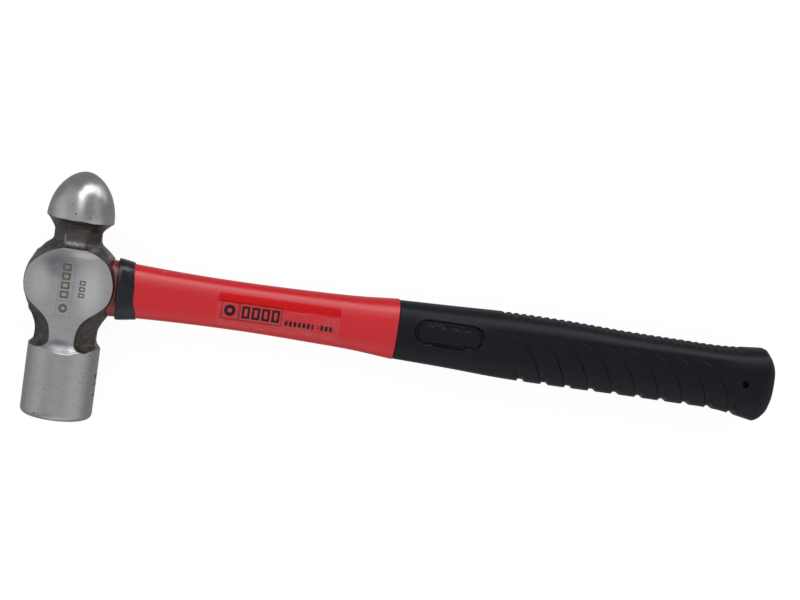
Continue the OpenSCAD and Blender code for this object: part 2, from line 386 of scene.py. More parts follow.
class Paint:
    """A material and short calls for its nodes. Positions are in millimetres."""

    def __init__(self, name, **sockets):
        self.material = bpy.data.materials.new(name)
        self.material.use_nodes = True
        self.tree = self.material.node_tree
        self.shader = self.tree.nodes["Principled BSDF"]
        for socket, value in sockets.items():
            self.shader.inputs[socket.replace("_", " ")].default_value = value
        coords = add_node(self.tree, "TexCoord").outputs["Object"]
        self.place = self.node("VectorMath", coords, (1 / MM,) * 3, [-c / MM for c in CROSS],
                               operation="MULTIPLY_ADD")
        self.x, self.y, self.z = add_node(self.tree, "SeparateXYZ", self.place).outputs
        self.color = None

    def node(self, kind, *values, **settings):
        """A new node's first output."""
        return add_node(self.tree, kind, *values, **settings).outputs[0]

    def named(self, kind, **sockets):
        """A new node's first output. The values go to the sockets of those names."""
        node = add_node(self.tree, kind)
        for name, value in sockets.items():
            put(self.tree, node.inputs[name], value)
        return node.outputs[0]

    def math(self, operation, *values):
        return self.node("Math", *values, operation=operation)

    def all_of(self, operation, values):
        value = values[0]
        for other in values[1:]:
            value = self.math(operation, value, other)
        return value

    def times(self, *values):
        return self.all_of("MULTIPLY", values)

    def union(self, *masks):
        return self.all_of("MAXIMUM", masks)

    def without(self, mask):
        return self.math("SUBTRACT", 1.0, mask)

    def texture(self, kind, size, stretch, shift, **sockets):
        place = self.node("VectorMath", self.place, stretch, shift, operation="MULTIPLY_ADD")
        return self.named(kind, Vector=place, Scale=1 / size, **sockets)

    def noise(self, size, detail=3.0, rough=0.5, stretch=(1, 1, 1), shift=(0, 0, 0)):
        return self.texture("TexNoise", size, stretch, shift, Detail=detail, Roughness=rough)

    def cells(self, size, stretch=(1, 1, 1), shift=(0, 0, 0)):
        return self.texture("TexVoronoi", size, stretch, shift)

    def span(self, value, low, high, start=0.0, end=1.0):
        """The value, taken smoothly from low..high to start..end."""
        return self.node("MapRange", value, low, high, start, end, interpolation_type="SMOOTHSTEP")

    def mix(self, factor, first, second):
        node = add_node(self.tree, "Mix", factor, data_type="RGBA")
        put(self.tree, node.inputs[6], first)
        put(self.tree, node.inputs[7], second)
        return node.outputs[2]

    def base(self, value, low, high, first, second):
        """The colour under all the tints: first where the value is low, second where high."""
        self.color = self.mix(self.span(value, low, high), srgb(*first), srgb(*second))

    def tint(self, color, share, *masks):
        """Lays a colour over what is there, by the product of the share and the masks."""
        self.color = self.mix(self.times(*masks, share), self.color, srgb(*color))

    def bumps(self, *layers):
        """Bumps on bumps: the height, the distance in millimetres and the strength of each."""
        under = {}
        for height, distance, strength in layers:
            under["Normal"] = self.named("Bump", Strength=strength, Distance=distance * MM,
                                         Height=height, **under)
        return under["Normal"]

    def turned(self):
        """Grinding lines run round the head's axis."""
        tangent = self.node("Tangent", direction_type="RADIAL", axis="Y")
        put(self.tree, self.shader.inputs["Tangent"], tangent)

    def away(self, centre, size=(1, 1)):
        """Distance from an oval patch's middle, as a share of its half sizes."""
        squares = [self.math("POWER", self.math("MULTIPLY_ADD", at, 1 / s, -c / s), 2.0)
                   for at, c, s in zip((self.x, self.y), centre, size)]
        return self.math("SQRT", self.math("ADD", *squares))

    def patch(self, centre, size, low, high):
        """A soft oval: 0 past low, and 1 inside high, both as shares of its half sizes."""
        return self.span(self.away(centre, size), low, high)

    def washer(self, centre, r, low, high):
        """A flat ring round the centre, r in radius."""
        off = self.math("SUBTRACT", self.away(centre), r)
        return self.span(self.math("ABSOLUTE", off), low, high)

    def box_mask(self, x, y, soft=0.05):
        """1 inside the upright rectangle x[0]..x[1], y[0]..y[1], and 0 outside."""
        sides = []
        for at, (low, high) in ((self.x, x), (self.y, y)):
            sides.append(self.span(at, low - soft, low + soft))
            sides.append(self.span(at, high - soft, high + soft, 1, 0))
        return self.times(*sides)

    def border(self, x, y, wall, soft=0.05):
        """1 on the border, wall wide, of the rectangle x[0]..x[1], y[0]..y[1]."""
        inner = self.box_mask((x[0] + wall, x[1] - wall), (y[0] + wall, y[1] - wall), soft)
        return self.math("SUBTRACT", self.box_mask(x, y, soft), inner)

    def pits(self, size, amount, shift):
        """Sparse dark pits: 1 in a pit."""
        where = self.noise(size * 2.2, 2, 0.5, shift=shift)
        dot = self.span(self.cells(size, shift=shift), 0.1, 0.2, 1, 0)
        return self.times(dot, self.span(where, amount, amount + 0.06))

    def finish(self, **sockets):
        """The material, with its colour and these sockets put on the shader."""
        for name, value in dict(sockets, Base_Color=self.color).items():
            put(self.tree, self.shader.inputs[name.replace("_", " ")], value)
        return self.material


def srgb(r, g, b):
    """The linear colour of three 0 to 255 display values."""
    def line(c):
        c = c / 255
        return c / 12.92 if c <= 0.04045 else ((c + 0.055) / 1.055) ** 2.4
    return (line(r), line(g), line(b), 1.0)


def forged_steel():
    """Dark, lacquered forging skin: brown-grey, speckled, with a rough die texture."""
    p = Paint("forged_steel", Metallic=0.4, Specular_IOR_Level=0.5, Coat_Weight=0.7,
              Coat_Roughness=0.14)
    speck = p.noise(0.6, 3, 0.7)
    painted_glint = p.span(p.noise(0.7, 3, 0.7, shift=(4, 4, 4)), 0.4, 0.62)
    rust = p.noise(5.5, 3, 0.6, shift=(31, 7, 3))
    p.base(p.noise(2.6, 4, 0.6), 0.35, 0.68, (36, 30, 26), (74, 66, 61))
    p.tint((16, 12, 10), 0.85, p.span(speck, 0.46, 0.36))
    p.tint((136, 127, 124), 0.6, p.span(speck, 0.58, 0.68))
    # Painted shade under the ball's overhang, and darker beside the ground faces
    p.tint((26, 20, 18), 0.6, p.span(p.y, 23.5, 26.5))
    p.tint((18, 14, 12), 0.6, p.span(p.math("ABSOLUTE", p.z), CHEEK - 1.3, CHEEK - 0.4))
    # The neck: painted shade on its right facet and in a groove, and its front facet painted lighter as
    # if lit
    p.tint((18, 13, 12), 0.6, p.patch((7.4, 20.5), (3.1, 4.2), 1.1, 0.7))
    p.tint((112, 106, 104), 0.3, p.patch((-0.2, 19.2), (4.4, 3.4), 1.05, 0.8))
    p.tint((16, 12, 11), 0.7, p.patch((4.6, 17.6), (0.7, 3.0), 1.1, 0.4))
    # Painted highlight along the left facet edge, and painted glints low on the fillets and beside the
    # eye
    p.tint((196, 192, 198), 0.5, p.patch((-4.5, 19.2), (0.4, 2.2), 1.1, 0.5))
    p.tint((206, 194, 200), 0.9, p.patch((-0.4, 17.5), (4.6, 1.1), 1.15, 0.3), painted_glint)
    p.tint((186, 160, 168), 0.6, p.patch((7.8, 15.2), (2.4, 2.0), 1.1, 0.3), painted_glint)
    # Rust, and drips of adhesive above the handle
    p.tint((84, 50, 40), 0.5, p.span(rust, 0.56, 0.75))
    p.tint((112, 100, 14), 0.85, p.patch((13.7, 15.3), (1.3, 0.7), 1.1, 0.6))
    p.tint((206, 110, 106), 0.6, p.patch((14.6, 13.6), (1.1, 1.0), 1.1, 0.4))
    normal = p.bumps((p.noise(1.5, 3, 0.55), 0.12, 0.8), (speck, 0.16, 1.0))
    return p.finish(Roughness=p.span(speck, 0.3, 0.7, 0.5, 0.3), Normal=normal, Coat_Normal=normal)


def ground_cheek():
    """The flat ground cheeks: fine lines along X, haze, painted reflections and plain etched shapes."""
    p = Paint("ground_cheek", Metallic=1.0)
    lines = p.noise(0.2, 3, 0.6, stretch=(0.03, 1.0, 1.0))
    wide = p.noise(1.0, 3, 0.6, stretch=(0.04, 1.0, 1.0), shift=(3, 5, 7))
    haze = p.noise(6, 3, 0.5, stretch=(0.6, 1, 1), shift=(11, 2, 0))
    # Painted reflections: broad lighter patches across the cheek, and a painted highlight along its top
    # edge
    light = p.union(
        p.patch((8.5, -1), (7, 14), 1.1, 0.2), p.patch((5, 13.4), (7, 1.9), 1.1, 0.3),
        p.times(p.patch((-12, 0), (5, 10), 1.1, 0.3), 0.5),
    )
    p.base(lines, 0.3, 0.7, (178, 177, 178), (194, 193, 194))
    p.tint((156, 155, 157), 0.25, p.span(wide, 0.4, 0.75))
    p.tint((120, 121, 127), 0.9, p.patch((-5.5, 9), (9, 7), 1.2, 0.2),
           p.span(haze, 0.2, 0.55, 0.55, 1))
    p.tint((226, 226, 228), 0.75, light)
    # The strip's foot, where it sweeps out to the poll: bluish grey, with a brown stain
    foot = p.span(p.y, -22.5, -25)
    p.tint((136, 137, 150), 0.6, foot)
    # Painted dark reflection across the top of the foot, and a painted highlight low on its right
    p.tint((92, 92, 108), 0.62, p.patch((-1.5, -23.9), (4.6, 1.6), 1.3, 0.1))
    p.tint((214, 214, 220), 0.8, p.patch((4.2, -26.2), (2.2, 1.9), 1.2, 0.2))
    p.tint((140, 112, 78), 0.8, p.patch((3, -27.4), (3.4, 0.9), 1.2, 0.5),
           p.span(p.noise(0.7, 3, 0.7), 0.45, 0.56))
    marks = cheek_marks(p)
    wear = p.span(p.noise(0.5, 2, 0.6), 0.3, 0.55)
    etched = p.times(marks, p.math("MULTIPLY_ADD", wear, 0.35, 0.65))
    p.tint((112, 98, 80), 1.0, etched)
    rough = p.math("MULTIPLY_ADD", lines, 0.1, 0.28)
    rough = p.math("MULTIPLY_ADD", foot, 0.08, rough)
    rough = p.math("MULTIPLY_ADD", etched, 0.25, rough)
    normal = p.bumps((lines, 0.02, 0.4), (wide, 0.03, 0.2), (p.without(marks), 0.05, 0.5))
    metal = p.math("MULTIPLY_ADD", etched, -0.5, 1.0)
    return p.finish(Roughness=rough, Metallic=metal, Normal=normal)


def cheek_marks(p):
    """Plain etched boxes and a ring in a thin frame: no lettering."""
    masks = [p.border((-3.7, -0.1), (low, low + 3.1), 0.85) for low in (6.2, 2.4, -1.4, -5.2)]
    masks += [p.border((3.8, 6.3), (low, low + 2.0), 0.6) for low in (-4.2, -1.6, 1.0)]
    masks.append(p.washer((-1.7, -9.4), 1.3, 0.65, 0.5))
    outer = p.union(*[p.border((-4.7, 1.4), y, 0.16, 0.03) for y in ((-12.7, -6.3), (-6.3, 10.5))])
    return p.union(*masks, p.times(outer, 0.7))


def turned_poll():
    """The poll: turned and ground round, with fine lines round the head's axis."""
    p = Paint("turned_poll", Metallic=1.0, Anisotropic=0.45)
    p.turned()
    lines = p.noise(0.2, 3, 0.65, stretch=(0.06, 1.0, 0.06))
    bands = p.noise(2.4, 2, 0.5, stretch=(0.15, 1.0, 0.15), shift=(5, 1, 2))
    stain = p.noise(6, 4, 0.6, shift=(2, 9, 4))
    streak = p.noise(0.8, 3, 0.7, stretch=(0.3, 1, 0.3), shift=(4, 4, 1))
    pit = p.union(p.pits(2.8, 0.6, (1, 2, 3)), p.pits(1.5, 0.64, (7, 5, 1)))
    chips = [p.patch((CHIP_X, middle[1]), (1.1, half), 1.1, 0.7) for middle, _, _, half in KNOCKS]
    p.base(lines, 0.3, 0.72, (178, 176, 177), (197, 195, 195))
    p.tint((156, 153, 153), 0.18, p.span(bands, 0.5, 0.8))
    p.tint((156, 138, 126), 0.3, p.span(stain, 0.58, 0.75))
    p.tint((112, 88, 78), 0.7, p.span(streak, 0.6, 0.66), p.patch((11, -38), (5, 12), 1.2, 0.5))
    p.tint((60, 52, 48), 0.75, p.union(pit, *chips))
    normal = p.bumps((lines, 0.02, 0.4), (p.without(pit), 0.12, 0.7))
    return p.finish(Roughness=p.math("MULTIPLY_ADD", lines, 0.12, 0.24), Normal=normal)


def polished_ball():
    """The ball: ground and buffed smooth, with faint grinding traces and a few pits."""
    p = Paint("polished_ball", Metallic=1.0, Anisotropic=0.3)
    p.turned()
    lines = p.noise(0.25, 3, 0.6, stretch=(0.1, 1.0, 0.1))
    cloud = p.noise(5, 3, 0.55, shift=(4, 4, 8))
    pit = p.union(p.pits(2.6, 0.52, (3, 8, 2)), p.pits(1.3, 0.6, (2, 2, 9)))
    pit = p.times(pit, p.span(p.y, 40, 29))
    p.base(cloud, 0.35, 0.7, (184, 183, 184), (194, 193, 193))
    p.tint((70, 62, 58), 0.8, pit)
    rough = p.math("MULTIPLY_ADD", lines, 0.1, 0.19)
    rough = p.math("ADD", rough, p.span(cloud, 0.4, 0.7, 0, 0.04))
    normal = p.bumps((lines, 0.02, 0.35), (cloud, 0.05, 0.25), (p.without(pit), 0.1, 0.6))
    return p.finish(Roughness=rough, Normal=normal)


def red_plastic():
    """The moulded red jacket: satin, with faint flow marks, specks and glue near the head."""
    p = Paint("red_plastic", Specular_IOR_Level=0.7)
    flow = p.noise(14, 3, 0.5, stretch=(0.25, 1, 1))
    scuff = p.noise(5, 3, 0.6, stretch=(0.5, 1, 1), shift=(1, 4, 2))
    near = p.span(p.x, 19.6, 18.4)
    buried = p.span(p.x, 138.5, 139.5)
    p.base(flow, 0.3, 0.7, (222, 6, 24), (228, 9, 28))
    p.tint((214, 130, 60), 0.6, p.pits(6, 0.6, (6, 1, 2)))
    # Painted shade in the gap between the head and the collar: darker red, with orange and dark brown
    # glue smears over it
    p.tint((120, 8, 14), 0.6, near)
    p.tint((200, 84, 44), 0.6, near, p.span(p.noise(1.1, 3, 0.6, shift=(2, 8, 1)), 0.56, 0.62))
    p.tint((70, 22, 14), 0.85, near, p.span(p.noise(1.6, 4, 0.65, shift=(8, 3, 5)), 0.44, 0.58))
    p.tint((24, 3, 5), 1.0, buried)
    normal = p.bumps((p.noise(0.5, 2, 0.5), 0.02, 0.35), (flow, 0.16, 0.15))
    return p.finish(Roughness=p.union(p.span(scuff, 0.35, 0.75, 0.27, 0.31), buried), Normal=normal)


def collar_rubber():
    """The tight rubber band behind the head: smooth, blue-black, faintly creased."""
    p = Paint("collar_rubber", Specular_IOR_Level=0.62, Specular_Tint=(0.86, 0.9, 1.0, 1.0))
    crease = p.noise(2.6, 3, 0.55, stretch=(1, 0.25, 0.25))
    dust = p.noise(0.35, 3, 0.7)
    p.base(crease, 0.3, 0.7, (5, 5, 10), (9, 9, 16))
    p.tint((80, 78, 84), 0.2, p.span(dust, 0.66, 0.8))
    normal = p.bumps((crease, 0.06, 0.3), (dust, 0.03, 0.3))
    return p.finish(Roughness=p.span(crease, 0.3, 0.75, 0.22, 0.3), Normal=normal)


def grip_rubber():
    """The moulded grip: matt blue-black rubber with a fine spark-eroded grain."""
    p = Paint("grip_rubber", Specular_IOR_Level=0.3, Specular_Tint=(0.86, 0.9, 1.0, 1.0))
    grain = p.noise(0.32, 3, 0.65)
    cloud = p.noise(9, 3, 0.55)
    p.base(cloud, 0.3, 0.7, (10, 10, 15), (15, 15, 21))
    p.tint((34, 35, 42), 0.25, p.span(grain, 0.6, 0.8))
    # Painted shade: darker towards the butt, further from the light
    p.tint((4, 4, 6), 0.5, p.span(p.x, 200, 300))
    # Painted shade in the oval panel's groove
    off = p.math("ABSOLUTE", p.math("SUBTRACT", p.x, EMBLEM[0]))
    along = p.math("MAXIMUM", p.math("SUBTRACT", off, (EMBLEM_L - EMBLEM_H) / 2), 0.0)
    up = p.math("SUBTRACT", p.y, EMBLEM[1])
    away = p.math("SQRT", p.math("ADD", p.math("POWER", along, 2.0), p.math("POWER", up, 2.0)))
    rim, pad = EMBLEM_H / 2, EMBLEM_H / 2 - EMBLEM_GROOVE
    p.tint((3, 3, 5), 0.8, p.span(away, rim + 0.1, rim - 0.1), p.span(away, pad - 0.05, pad + 0.25))
    normal = p.bumps((grain, 0.06, 0.5), (cloud, 0.3, 0.1))
    return p.finish(Roughness=p.span(grain, 0.3, 0.7, 0.46, 0.36), Normal=normal)


def cured_epoxy():
    """Amber to olive epoxy, glossy and uneven, and stained red where it films the jacket."""
    p = Paint("cured_epoxy", Specular_IOR_Level=0.5, Coat_Weight=0.4)
    cloud = p.noise(2.2, 4, 0.6)
    p.base(cloud, 0.35, 0.68, (120, 82, 34), (176, 146, 60))
    thin = p.times(p.span(p.x, 12, 17), p.span(p.y, 12.6, 11))
    red = p.mix(p.span(cloud, 0.4, 0.6), srgb(132, 26, 24), srgb(146, 66, 30))
    p.color = p.mix(thin, p.color, red)
    normal = p.bumps((p.noise(0.8, 3, 0.6), 0.25, 0.6))
    return p.finish(Roughness=p.span(cloud, 0.3, 0.7, 0.2, 0.42), Normal=normal)


def glass_fibre():
    """Pultruded rod: pale resin with glass strands along X, cut square at the end."""
    p = Paint("glass_fibre", Specular_IOR_Level=0.5)
    strands = p.noise(0.4, 3, 0.7, stretch=(0.03, 1, 1))
    ends = p.cells(0.55, stretch=(0.05, 1, 1))
    p.base(strands, 0.35, 0.65, (196, 178, 128), (228, 216, 176))
    p.tint((150, 128, 80), 0.55, p.span(ends, 0.25, 0.55))
    normal = p.bumps((strands, 0.08, 0.7), (ends, 0.08, 0.5))
    return p.finish(Roughness=p.span(strands, 0.3, 0.7, 0.45, 0.62), Normal=normal)


def clear_film():
    """Clear adhesive film with plain printed shapes, hazy patches and trapped air."""
    p = Paint("clear_film", Specular_IOR_Level=0.3, Roughness=0.3)
    x0, x1 = LABEL_ENDS
    haze = p.noise(3.5, 4, 0.6, stretch=(0.4, 1, 1))
    wobble = p.math("MULTIPLY_ADD", p.noise(9, 2, 0.5, stretch=(1, 0, 0)), 1.6, 0.9)
    lower = p.span(p.math("SUBTRACT", p.y, wobble), 0.15, -0.15)
    bubble = p.times(p.span(p.noise(0.9, 3, 0.6, stretch=(0.25, 1, 1)), 0.6, 0.68),
                     p.span(p.y, -5.6, -7.4))
    rim = p.without(p.box_mask((x0 + 0.35, x1 - 0.35), (-7.85, 5.25), 0.1))
    printed = label_marks(p)
    # The upper band is painted saturated red at part cover: painted shade that hides the jacket's
    # highlight under the film
    clear = p.math("MULTIPLY_ADD", lower, -0.45, 0.45)
    p.base(clear, 0.0, 0.45, (228, 160, 160), (250, 0, 20))
    p.tint((50, 20, 24), 1.0, printed)
    alpha = p.union(p.times(lower, p.span(haze, 0.25, 0.8, 0.0, 0.1)), p.times(bubble, 0.5),
                    p.times(rim, 0.1), clear, p.times(printed, 0.94))
    return p.finish(Normal=p.bumps((bubble, 0.08, 0.5)), Alpha=alpha)


def label_marks(p):
    """Plain printed shapes in thin frames on the film: no lettering."""
    masks = [p.border((x, x + 3.4), (-4.2, 1.1), 1.05, 0.06) for x in (71.5, 75.7, 79.9, 84.1)]
    masks += [p.border(x, (-5.4, 2.4), 0.26) for x in ((62.8, 70.2), (70.5, 88.5))]
    masks.append(p.washer((66.4, -1.5), 1.7, 0.8, 0.68))
    row = p.math("PINGPONG", p.math("SUBTRACT", p.x, 89.6), 0.95)
    gap = p.box_mask((102.2, 104.1), (-6, -2))
    dashes = p.times(p.span(row, 0.3, 0.42), p.box_mask((89.6, 110.5), (-4.9, -2.7), 0.06))
    return p.union(*masks, p.times(dashes, p.without(gap)))


# Head

def neck_flare(y):
    """Half width across the neck's flats: straight, then a concave sweep out to the eye."""
    start, r, turn = 19.6, 4.0, math.radians(50)
    bend = start - r * math.sin(turn)
    arc = NECK + r - np.sqrt(np.maximum(r * r - (start - np.clip(y, bend, start)) ** 2, 0))
    run = (bend - np.minimum(y, bend)) * math.tan(turn)
    return np.minimum(np.where(y > start, NECK, arc + run), EYE_R - 3)


def waist_flare(y):
    """Half width across the waist's flats, with the long concave sweep out to the eye."""
    start, r, turn = -21.5, 14.0, math.radians(36)
    bend = start + r * math.sin(turn)
    arc = CHEEK + r - np.sqrt(np.maximum(r * r - (np.clip(y, start, bend) - start) ** 2, 0))
    run = (np.maximum(y, bend) - bend) * math.tan(turn)
    return np.minimum(np.where(y < start, CHEEK, arc + run), EYE_R - 3)


def soft_max(a, b, blend):
    h = np.clip(0.5 + (a - b) / (2 * blend), 0, 1)
    return b + (a - b) * h + blend * h * (1 - h)


def soft_min(a, b, blend):
    return -soft_max(-a, -b, blend)


def side_reach(y, shift):
    """Half width of the head in the plane of the handle, on the side that shift leans to."""
    barrel = np.sqrt(np.maximum(EYE_R**2 - (y - EYE_BODY_Y) ** 2, 0)) + shift
    flare = np.where(y > 0, neck_flare(y), waist_flare(y))
    worn = 0.7 * (shift > 0) * np.exp(-(((y - 13.4) / 2.0) ** 2))
    return soft_max(barrel, flare, 0.5) - worn


def cheek_half(y):
    """Half width of the ground cheek: round above, drawn in to the strip below."""
    above = CHEEK_R * np.sqrt(np.maximum(1 - (np.clip(y, 0, CHEEK_TOP) / CHEEK_TOP) ** 2.25, 0))
    rise = (1 + math.exp(-10.6 / 2.6)) / (1 + np.exp((-y - 10.6) / 2.6))
    below = STRIP + (CHEEK_R - STRIP) * rise
    return np.where(y > 0, np.maximum(above, FLAT_RATIO * np.minimum(neck_flare(y), CHEEK)), below)


def cheek_middle(y):
    """Where the middle of the cheek lies across the head: the grinding leans a little."""
    lean = -0.65 + 0.95 * smoothstep(5, 13, y)
    return lean * smoothstep(-30, -24, y) * (1 - smoothstep(NECK_FROM - 0.5, NECK_FROM + 2, y))


def flank(t, a, h, w, octagon, scoop):
    """One side of a ring, from its top corner at t = 1 to its bottom corner at t = -1."""
    q = np.abs(t)
    barrel = np.stack([w - (w - a) * q**1.8, h * q], axis=-1)
    corner = FLAT_RATIO * w
    low = np.clip(q / 0.35, 0, 1)
    high = np.clip((q - 0.35) / 0.65, 0, 1)
    dip = scoop * np.sin(math.pi * high) ** 0.8 * math.sqrt(0.5)
    eight = np.stack([w + (a - w) * high - dip, corner * low + (h - corner) * high - dip], axis=-1)
    side = barrel * (1 - octagon) + eight * octagon
    side[:, 1] *= np.sign(t)
    return side


def head_ring(y):
    """The head's outline across its axis at height y, as TOP_STEPS and FLANK_STEPS say."""
    y = float(y)
    h = float(min(neck_flare(y), CHEEK)) if y > NECK_FROM - 1 else CHEEK
    a = float(cheek_half(y)) if y < NECK_FROM + 0.2 else FLAT_RATIO * h
    right, left = float(side_reach(y, -EYE_BACK)), float(side_reach(y, EYE_BACK))
    octagon = float(smoothstep(-2, -15, y) + smoothstep(9.5, 15.2, y))
    scoop = 1.3 * float(smoothstep(-6, -17, y))
    u = np.linspace(-1, 1, TOP_STEPS + 1)[:-1]
    t = np.linspace(1, -1, FLANK_STEPS + 1)[:-1]
    off = float(cheek_middle(y))
    top = np.stack([u * a + off, np.full_like(u, h)], axis=-1)
    bottom = np.stack([off - u * a, np.full_like(u, -h)], axis=-1)
    right_side = flank(t, a + off, h, right, octagon, scoop)
    left_side = flank(t, a - off, h, left, octagon, scoop)
    return np.vstack([top, right_side, bottom, -left_side])


def circle_ring(r, corners=(CORNER_DEG, CORNER_DEG)):
    """A circle whose points match head_ring's, with the corners at those angles, left and right."""
    left, right = np.radians(corners)
    u = np.linspace(-left, right, TOP_STEPS + 1)[:-1]
    v = np.linspace(right, math.pi - right, FLANK_STEPS + 1)[:-1]
    w = np.linspace(math.pi + left, 2 * math.pi - left, FLANK_STEPS + 1)[:-1]
    under = np.linspace(math.pi - right, math.pi + left, TOP_STEPS + 1)[:-1]
    angles = np.concatenate([u, v, under, w])
    return r * np.stack([np.sin(angles), np.cos(angles)], axis=-1)


def ring_angles():
    circle = circle_ring(1.0)
    return np.arctan2(circle[:, 0], circle[:, 1])


def relaxed(ring_xz, passes):
    """The ring with its corners worn round."""
    for _ in range(passes):
        ring_xz = (np.roll(ring_xz, 1, 0) + 2 * ring_xz + np.roll(ring_xz, -1, 0)) / 4
    return ring_xz


def head_rows():
    """The rows of the head's skin, from the face to the ball, with each row's kind."""
    angles = ring_angles()
    round_poll = circle_ring(1.0, STRIP_SPREAD_DEG)
    turned = np.degrees(np.arctan2(round_poll[:, 0], np.abs(round_poll[:, 1])))
    shoulder = sections(SHOULDER, turned)[:, 0]
    flat = POLL_R - EDGE_R
    rows, kinds = [], []

    def add(kind, xz, y):
        y = np.broadcast_to(np.asarray(y, float), (len(xz),))
        rows.append(np.stack([xz[:, 0], y, xz[:, 1]], axis=-1))
        kinds.append(kind)

    for share in (0.12, 0.3, 0.5, 0.7, 0.87, 1.0):
        add("poll", flat * share * round_poll, FACE + CROWN * share**2)
    for a in np.radians(np.arange(11.25, 90.1, 11.25)):
        add("poll", (flat + EDGE_R * math.sin(a)) * round_poll,
            FACE + CROWN + (EDGE_R - CROWN) * (1 - math.cos(a)))
    for share in np.arange(1, 45) / 45:
        add("poll", POLL_R * round_poll, FACE + EDGE_R + share * (shoulder - 0.2 - FACE - EDGE_R))
    add("poll", POLL_R * round_poll, shoulder - 0.2)
    add("flare", (POLL_R - 0.18) * round_poll, shoulder)
    for s in np.linspace(1, 0, 19)[1:-1]:
        y = WAIST_FROM + s * (shoulder - WAIST_FROM)
        waist = head_ring(WAIST_FROM)
        add("flare", waist + ((POLL_R - 0.1) * round_poll - waist) * [s**2.6, s**2.1], y)
    closing = 12 + 3.35 * np.sin(np.linspace(0, math.pi / 2, 16))
    for y in np.concatenate([np.arange(WAIST_FROM, 12, 0.42), closing]):
        add("body", head_ring(y), y)
    for y in np.linspace(NECK_FROM + 0.1, UNDER_BALL, 20):
        add("neck", relaxed(head_ring(y), int(round(2 * smoothstep(NECK_FROM, 17.5, y)))), y)
    neck = relaxed(head_ring(UNDER_BALL), 2)
    tilt = -0.45 * np.sin(angles)
    for s in np.linspace(0, 1, 15)[1:]:
        add("neck", neck + (circle_ring(13.3) - neck) * s**1.5, UNDER_BALL + s * (4.65 + s * tilt))
    wobble = 0.14 * np.sin(5 * angles + 1) + 0.1 * np.sin(11 * angles)
    add("neck", circle_ring(13.62), 26.85 + wobble + tilt)
    add("ball", circle_ring(13.92), 27.2 + wobble + tilt)
    centre = BALL_TIP - BALL_RISE
    first = math.asin((BALL_BASE - centre) / BALL_RISE)
    for a in np.linspace(first, math.pi / 2, 50)[:-1]:
        y = centre + BALL_RISE * math.sin(a)
        high = (y - BALL_BASE) / (BALL_TIP - BALL_BASE)
        around = circle_ring(BALL_R * math.cos(a) * (1 - 0.1 * high**4)) + [0.45 * high, 0]
        add("ball", around, y + tilt * (1 - high))
    return np.array(rows), kinds


def top_columns():
    """True for each column of the head's grid that lies on the upper or the lower flat."""
    half = [True] * TOP_STEPS + [False] * FLANK_STEPS
    return np.array(half + half)


def dent(points, centre, radius, depth):
    """Presses a shallow dent into the points, towards the head's axis."""
    away = np.linalg.norm(points - np.array(centre), axis=1)
    share = depth * np.exp(-((away / radius) ** 2) * 1.5)
    points -= outward(points) * share[:, None]


def forging_marks(rows, kinds):
    """Uneven forged skin, the dies' parting line, and knocks on the poll."""
    flat = rows.reshape(-1, 3)
    columns = rows.shape[1]
    rough = np.array([k in ("flare", "body", "neck") for k in kinds], float)
    weight = np.repeat(rough, columns).reshape(len(kinds), columns)
    step = np.arange(FLANK_STEPS)
    side = np.clip(np.minimum(step, FLANK_STEPS - step) / 4, 0, 1)
    around = np.tile(np.concatenate([np.zeros(TOP_STEPS), side]), 2)
    for r, kind in enumerate(kinds):
        y = rows[r, 0, 1]
        open_neck = smoothstep(NECK_FROM, NECK_FROM + 1.5, y) if kind == "neck" else 0.0
        weight[r] *= around * (1 - open_neck) + open_neck
        if kind == "flare":
            inside = POLL_R - np.linalg.norm(rows[r][:, [0, 2]], axis=1)
            weight[r] *= smoothstep(0.0, 0.8, inside)
        if kind == "neck" and y > 26:
            weight[r] *= 0.4
    weight = weight.ravel()
    touched = weight > 0
    lumps = np.zeros(len(flat))
    lumps[touched] = 0.12 * fractal(flat[touched], 3.4, 3) + 0.07 * fractal(flat[touched], 0.9, 2, 40)
    flash = 0.2 * np.exp(-((flat[:, 2] / 0.45) ** 2))
    on_neck = smoothstep(15, 16.5, flat[:, 1]) * smoothstep(22.5, 20, flat[:, 1])
    ridge = np.exp(-(((flat[:, 0] + 4.4) / 0.5) ** 2)) - np.exp(-(((flat[:, 0] - 4.3) / 0.5) ** 2))
    lumps = lumps * (1 - 0.6 * on_neck) + 0.28 * ridge * on_neck * (np.abs(flat[:, 2]) > 5)
    raised = np.minimum(lumps, 0.3) + flash * (np.abs(flat[:, 0]) > 6)
    flat += outward(flat) * (raised * weight)[:, None]
    for middle, radius, depth, _ in KNOCKS:
        dent(flat, middle, radius, depth)
    return flat.reshape(rows.shape)


def eye_cutter(material):
    angles = full_turn(96)
    through = rings(EYE, np.linspace(EYE[0][0], EYE_FLOOR, 24), angles)
    socket = level_rings(JACKET[0][1:], [EYE_FLOOR, 22], angles, BOND)
    return make_piece("eye_cutter", capped_tube(np.concatenate([through, socket])), [material])


def hammer_head():
    rows, kinds = head_rows()
    rows = forging_marks(rows, kinds)
    on_flat = top_columns()
    chosen = []
    for kind in kinds[:-1]:
        ground = {"poll": 2, "ball": 3}.get(kind, 0)
        chosen += [1 if kind in ("flare", "body") and flat else ground for flat in on_flat]
    chosen += [2] * len(on_flat) + [3] * len(on_flat)
    forged = forged_steel()
    materials = [forged, ground_cheek(), turned_poll(), polished_ball()]
    skin = capped_tube(rows, (0, FACE, 0), (0.35, BALL_TIP, 0))
    head = make_piece("steel_head", skin, materials, chosen, 24)
    cut(head, eye_cutter(forged), 24)
    dress(head, "hammer_head")


# Handle

def jacket_rows(angles):
    """Outer skin of the jacket, from the head to its end under the butt."""
    visible = rings(JACKET, np.linspace(SOCKET, SEAM, 150), angles)
    return np.concatenate([visible, rings(GRIP, np.linspace(SEAM, JACKET_END, 40), angles, -RUBBER)])


